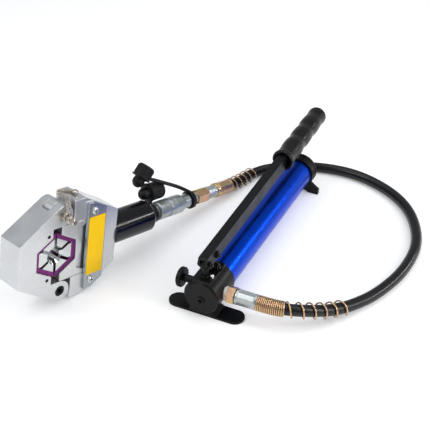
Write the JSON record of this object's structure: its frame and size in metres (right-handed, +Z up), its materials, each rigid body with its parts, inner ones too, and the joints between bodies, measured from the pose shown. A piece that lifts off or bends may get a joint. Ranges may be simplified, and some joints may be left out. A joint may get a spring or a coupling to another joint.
{
  "type": "hose_crimping_machine",
  "caption": "Hand-pumped hose crimping machine: a hinged crimping head with six jaws round a bore, joined by a black hose to a blue lever pump.",
  "frame": {"origin": "on the floor, under the middle of the pump's front foot", "axes": "+Y runs along the pump from its front foot to its rear cap, +X points to the pump's hose port, +Z is up"},
  "size_m": [0.4266, 0.5022, 0.1411],
  "materials": {
    "satin_steel": "satin nickel-plated steel, light silver",
    "label_yellow": "bare yellow foil, semi-gloss",
    "purple_holder": "purple anodised metal, satin",
    "bright_steel": "machined tool steel, bright",
    "black_steel": "black, satin",
    "gloss_black": "gloss black enamel",
    "zinc_steel": "clear zinc plating, satin",
    "yellow_zinc": "yellow chromate over zinc, slightly iridescent",
    "black_rubber": "matte black rubber",
    "blue_tube": "blue anodised tube, glossy",
    "spring_steel": "spring steel, bright",
    "white_plastic": "off-white plastic washer, satin"
  },
  "bodies": {
    "base": {"bleed_screw": "bright_steel", "coupler_nipple": "zinc_steel", "coupler_socket": "zinc_steel", "cover_plate": "satin_steel", "cover_screws": "bright_steel", "dust_cap_line": "black_rubber", "dust_cap_ram": "black_rubber", "end_cap": "black_steel", "foot_screws": "black_steel", "front_foot": "black_steel", "front_plug": "black_steel", "gland_nut": "black_steel", "hinge_pin": "black_steel", "hinge_pin_clip": "black_steel", "hose": "black_rubber", "hose_collar_head": "zinc_steel", "hose_ferrule_head": "yellow_zinc", "hose_ferrule_pump": "zinc_steel", "hose_nut_head": "yellow_zinc", "hose_nut_pump": "yellow_zinc", "link_pin": "black_steel", "pin_chain": "bright_steel", "plate_label": "label_yellow", "port_adapter": "white_plastic", "pump_head": "black_steel", "ram_cylinder": "gloss_black", "rear_foot": "black_steel", "rear_frame": "satin_steel", "reservoir_tube": "blue_tube", "return_spring": "spring_steel", "spring_guard_head": "yellow_zinc", "spring_guard_pump": "yellow_zinc", "tie_rod": "spring_steel", "tube_seals": "black_rubber"},
    "yoke": {"front_yoke": "satin_steel", "die_set_screws": "black_steel", "die_holder_yoke": "purple_holder", "jaw_yoke_middle": "bright_steel", "jaw_springs_yoke": "spring_steel"},
    "yoke_upper_jaw": {"jaw_yoke_upper": "bright_steel"},
    "yoke_lower_jaw": {"jaw_yoke_lower": "bright_steel"},
    "ram": {"slider_block": "satin_steel", "die_holder_slider": "purple_holder", "jaw_slider_middle": "bright_steel", "jaw_springs_slider": "spring_steel", "ram_piston": "spring_steel", "piston_seal": "black_rubber"},
    "slider_upper_jaw": {"jaw_slider_upper": "bright_steel"},
    "slider_lower_jaw": {"jaw_slider_lower": "bright_steel"},
    "pin": {"locking_pin": "bright_steel", "locking_pin_ring": "bright_steel"},
    "sleeve": {"coupler_sleeve": "zinc_steel"},
    "release": {"release_stem": "black_steel", "release_knob": "black_steel"},
    "link": {"lever_link": "black_steel"},
    "lever": {"lever_bar": "black_steel", "lever_grip": "black_rubber", "plunger_pin": "black_steel", "pivot_bolt": "black_steel"},
    "piston_rod": {"plunger": "black_steel"}
  },
  "joints": [
    {"name": "yoke_hinge", "type": "hinge", "parent": "base", "child": "yoke", "pos_m": [-0.18377, -0.0657, 0.0219], "axis": [0.9559, -0.2937, 0], "range_deg": [0, 90]},
    {"name": "locking_pin_draw", "type": "slide", "parent": "base", "child": "pin", "axis": [0.9559, -0.2937, 0], "range_m": [0, 0.05]},
    {"name": "ram_stroke", "type": "slide", "parent": "base", "child": "ram", "axis": [0.2885, 0.939, -0.1874], "range_m": [0, 0.014]},
    {"name": "yoke_upper_jaw_slide", "type": "slide", "parent": "yoke", "child": "yoke_upper_jaw", "axis": [0.2774, 0.9027, 0.3289], "range_m": [0, 0.0036]},
    {"name": "yoke_lower_jaw_slide", "type": "slide", "parent": "yoke", "child": "yoke_lower_jaw", "axis": [0.2223, 0.7236, -0.6534], "range_m": [0, 0.0036]},
    {"name": "slider_upper_jaw_slide", "type": "slide", "parent": "ram", "child": "slider_upper_jaw", "axis": [-0.2223, -0.7236, 0.6534], "range_m": [0, 0.0036]},
    {"name": "slider_lower_jaw_slide", "type": "slide", "parent": "ram", "child": "slider_lower_jaw", "axis": [-0.2774, -0.9027, -0.3289], "range_m": [0, 0.0036]},
    {"name": "coupler_sleeve_turn", "type": "hinge", "parent": "base", "child": "sleeve", "pos_m": [-0.12191, 0.13564, 0.03466], "axis": [0.2885, 0.939, -0.1874], "continuous": true},
    {"name": "release_valve_turn", "type": "hinge", "parent": "base", "child": "release", "pos_m": [-0.0375, 0.0075, 0.033], "axis": [-1, 0, 0], "range_deg": [0, 180]},
    {"name": "link_swing", "type": "hinge", "parent": "base", "child": "link", "pos_m": [0, 0.0165, 0.057], "axis": [1, 0, 0], "range_deg": [0, 9]},
    {"name": "lever_swing", "type": "hinge", "parent": "link", "child": "lever", "pos_m": [0, 0.017, 0.0753], "axis": [1, 0, 0], "range_deg": [0, 16]},
    {"name": "plunger_stroke", "type": "slide", "parent": "base", "child": "piston_rod", "axis": [0, 0, -1], "range_m": [0, 0.009]}
  ],
  "couplings": [
    {"joint": "yoke_upper_jaw_slide", "follows": "ram_stroke", "ratio": 0.25},
    {"joint": "yoke_lower_jaw_slide", "follows": "ram_stroke", "ratio": 0.25},
    {"joint": "slider_upper_jaw_slide", "follows": "ram_stroke", "ratio": 0.25},
    {"joint": "slider_lower_jaw_slide", "follows": "ram_stroke", "ratio": 0.25},
    {"joint": "link_swing", "follows": "lever_swing", "ratio": 0.47},
    {"joint": "plunger_stroke", "follows": "lever_swing", "m_per_rad": 0.028224}
  ]
}
